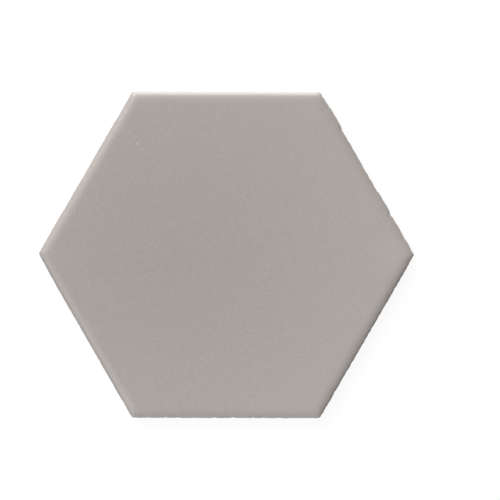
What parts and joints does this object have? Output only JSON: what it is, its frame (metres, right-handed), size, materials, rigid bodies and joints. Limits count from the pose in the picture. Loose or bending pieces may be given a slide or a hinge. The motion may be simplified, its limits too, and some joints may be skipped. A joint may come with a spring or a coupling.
{
  "type": "hexagon floor tile",
  "caption": "Hexagonal glazed ceramic floor tile with a flat face, soft cushioned edges, upright sides and a shallow honeycomb key on its back.",
  "frame": {"origin": "middle of the back, on the plane of its ribs", "axes": "+Z out of the glazed face, +X from the middle to a corner, +Y from the middle square to a straight side"},
  "size_m": [0.2016, 0.175, 0.009],
  "materials": {
    "glazed_tile": "satin glaze, warm light grey, over a pale fired body"
  },
  "bodies": {
    "root": {"hexagon_tile": "glazed_tile"}
  },
  "joints": []
}
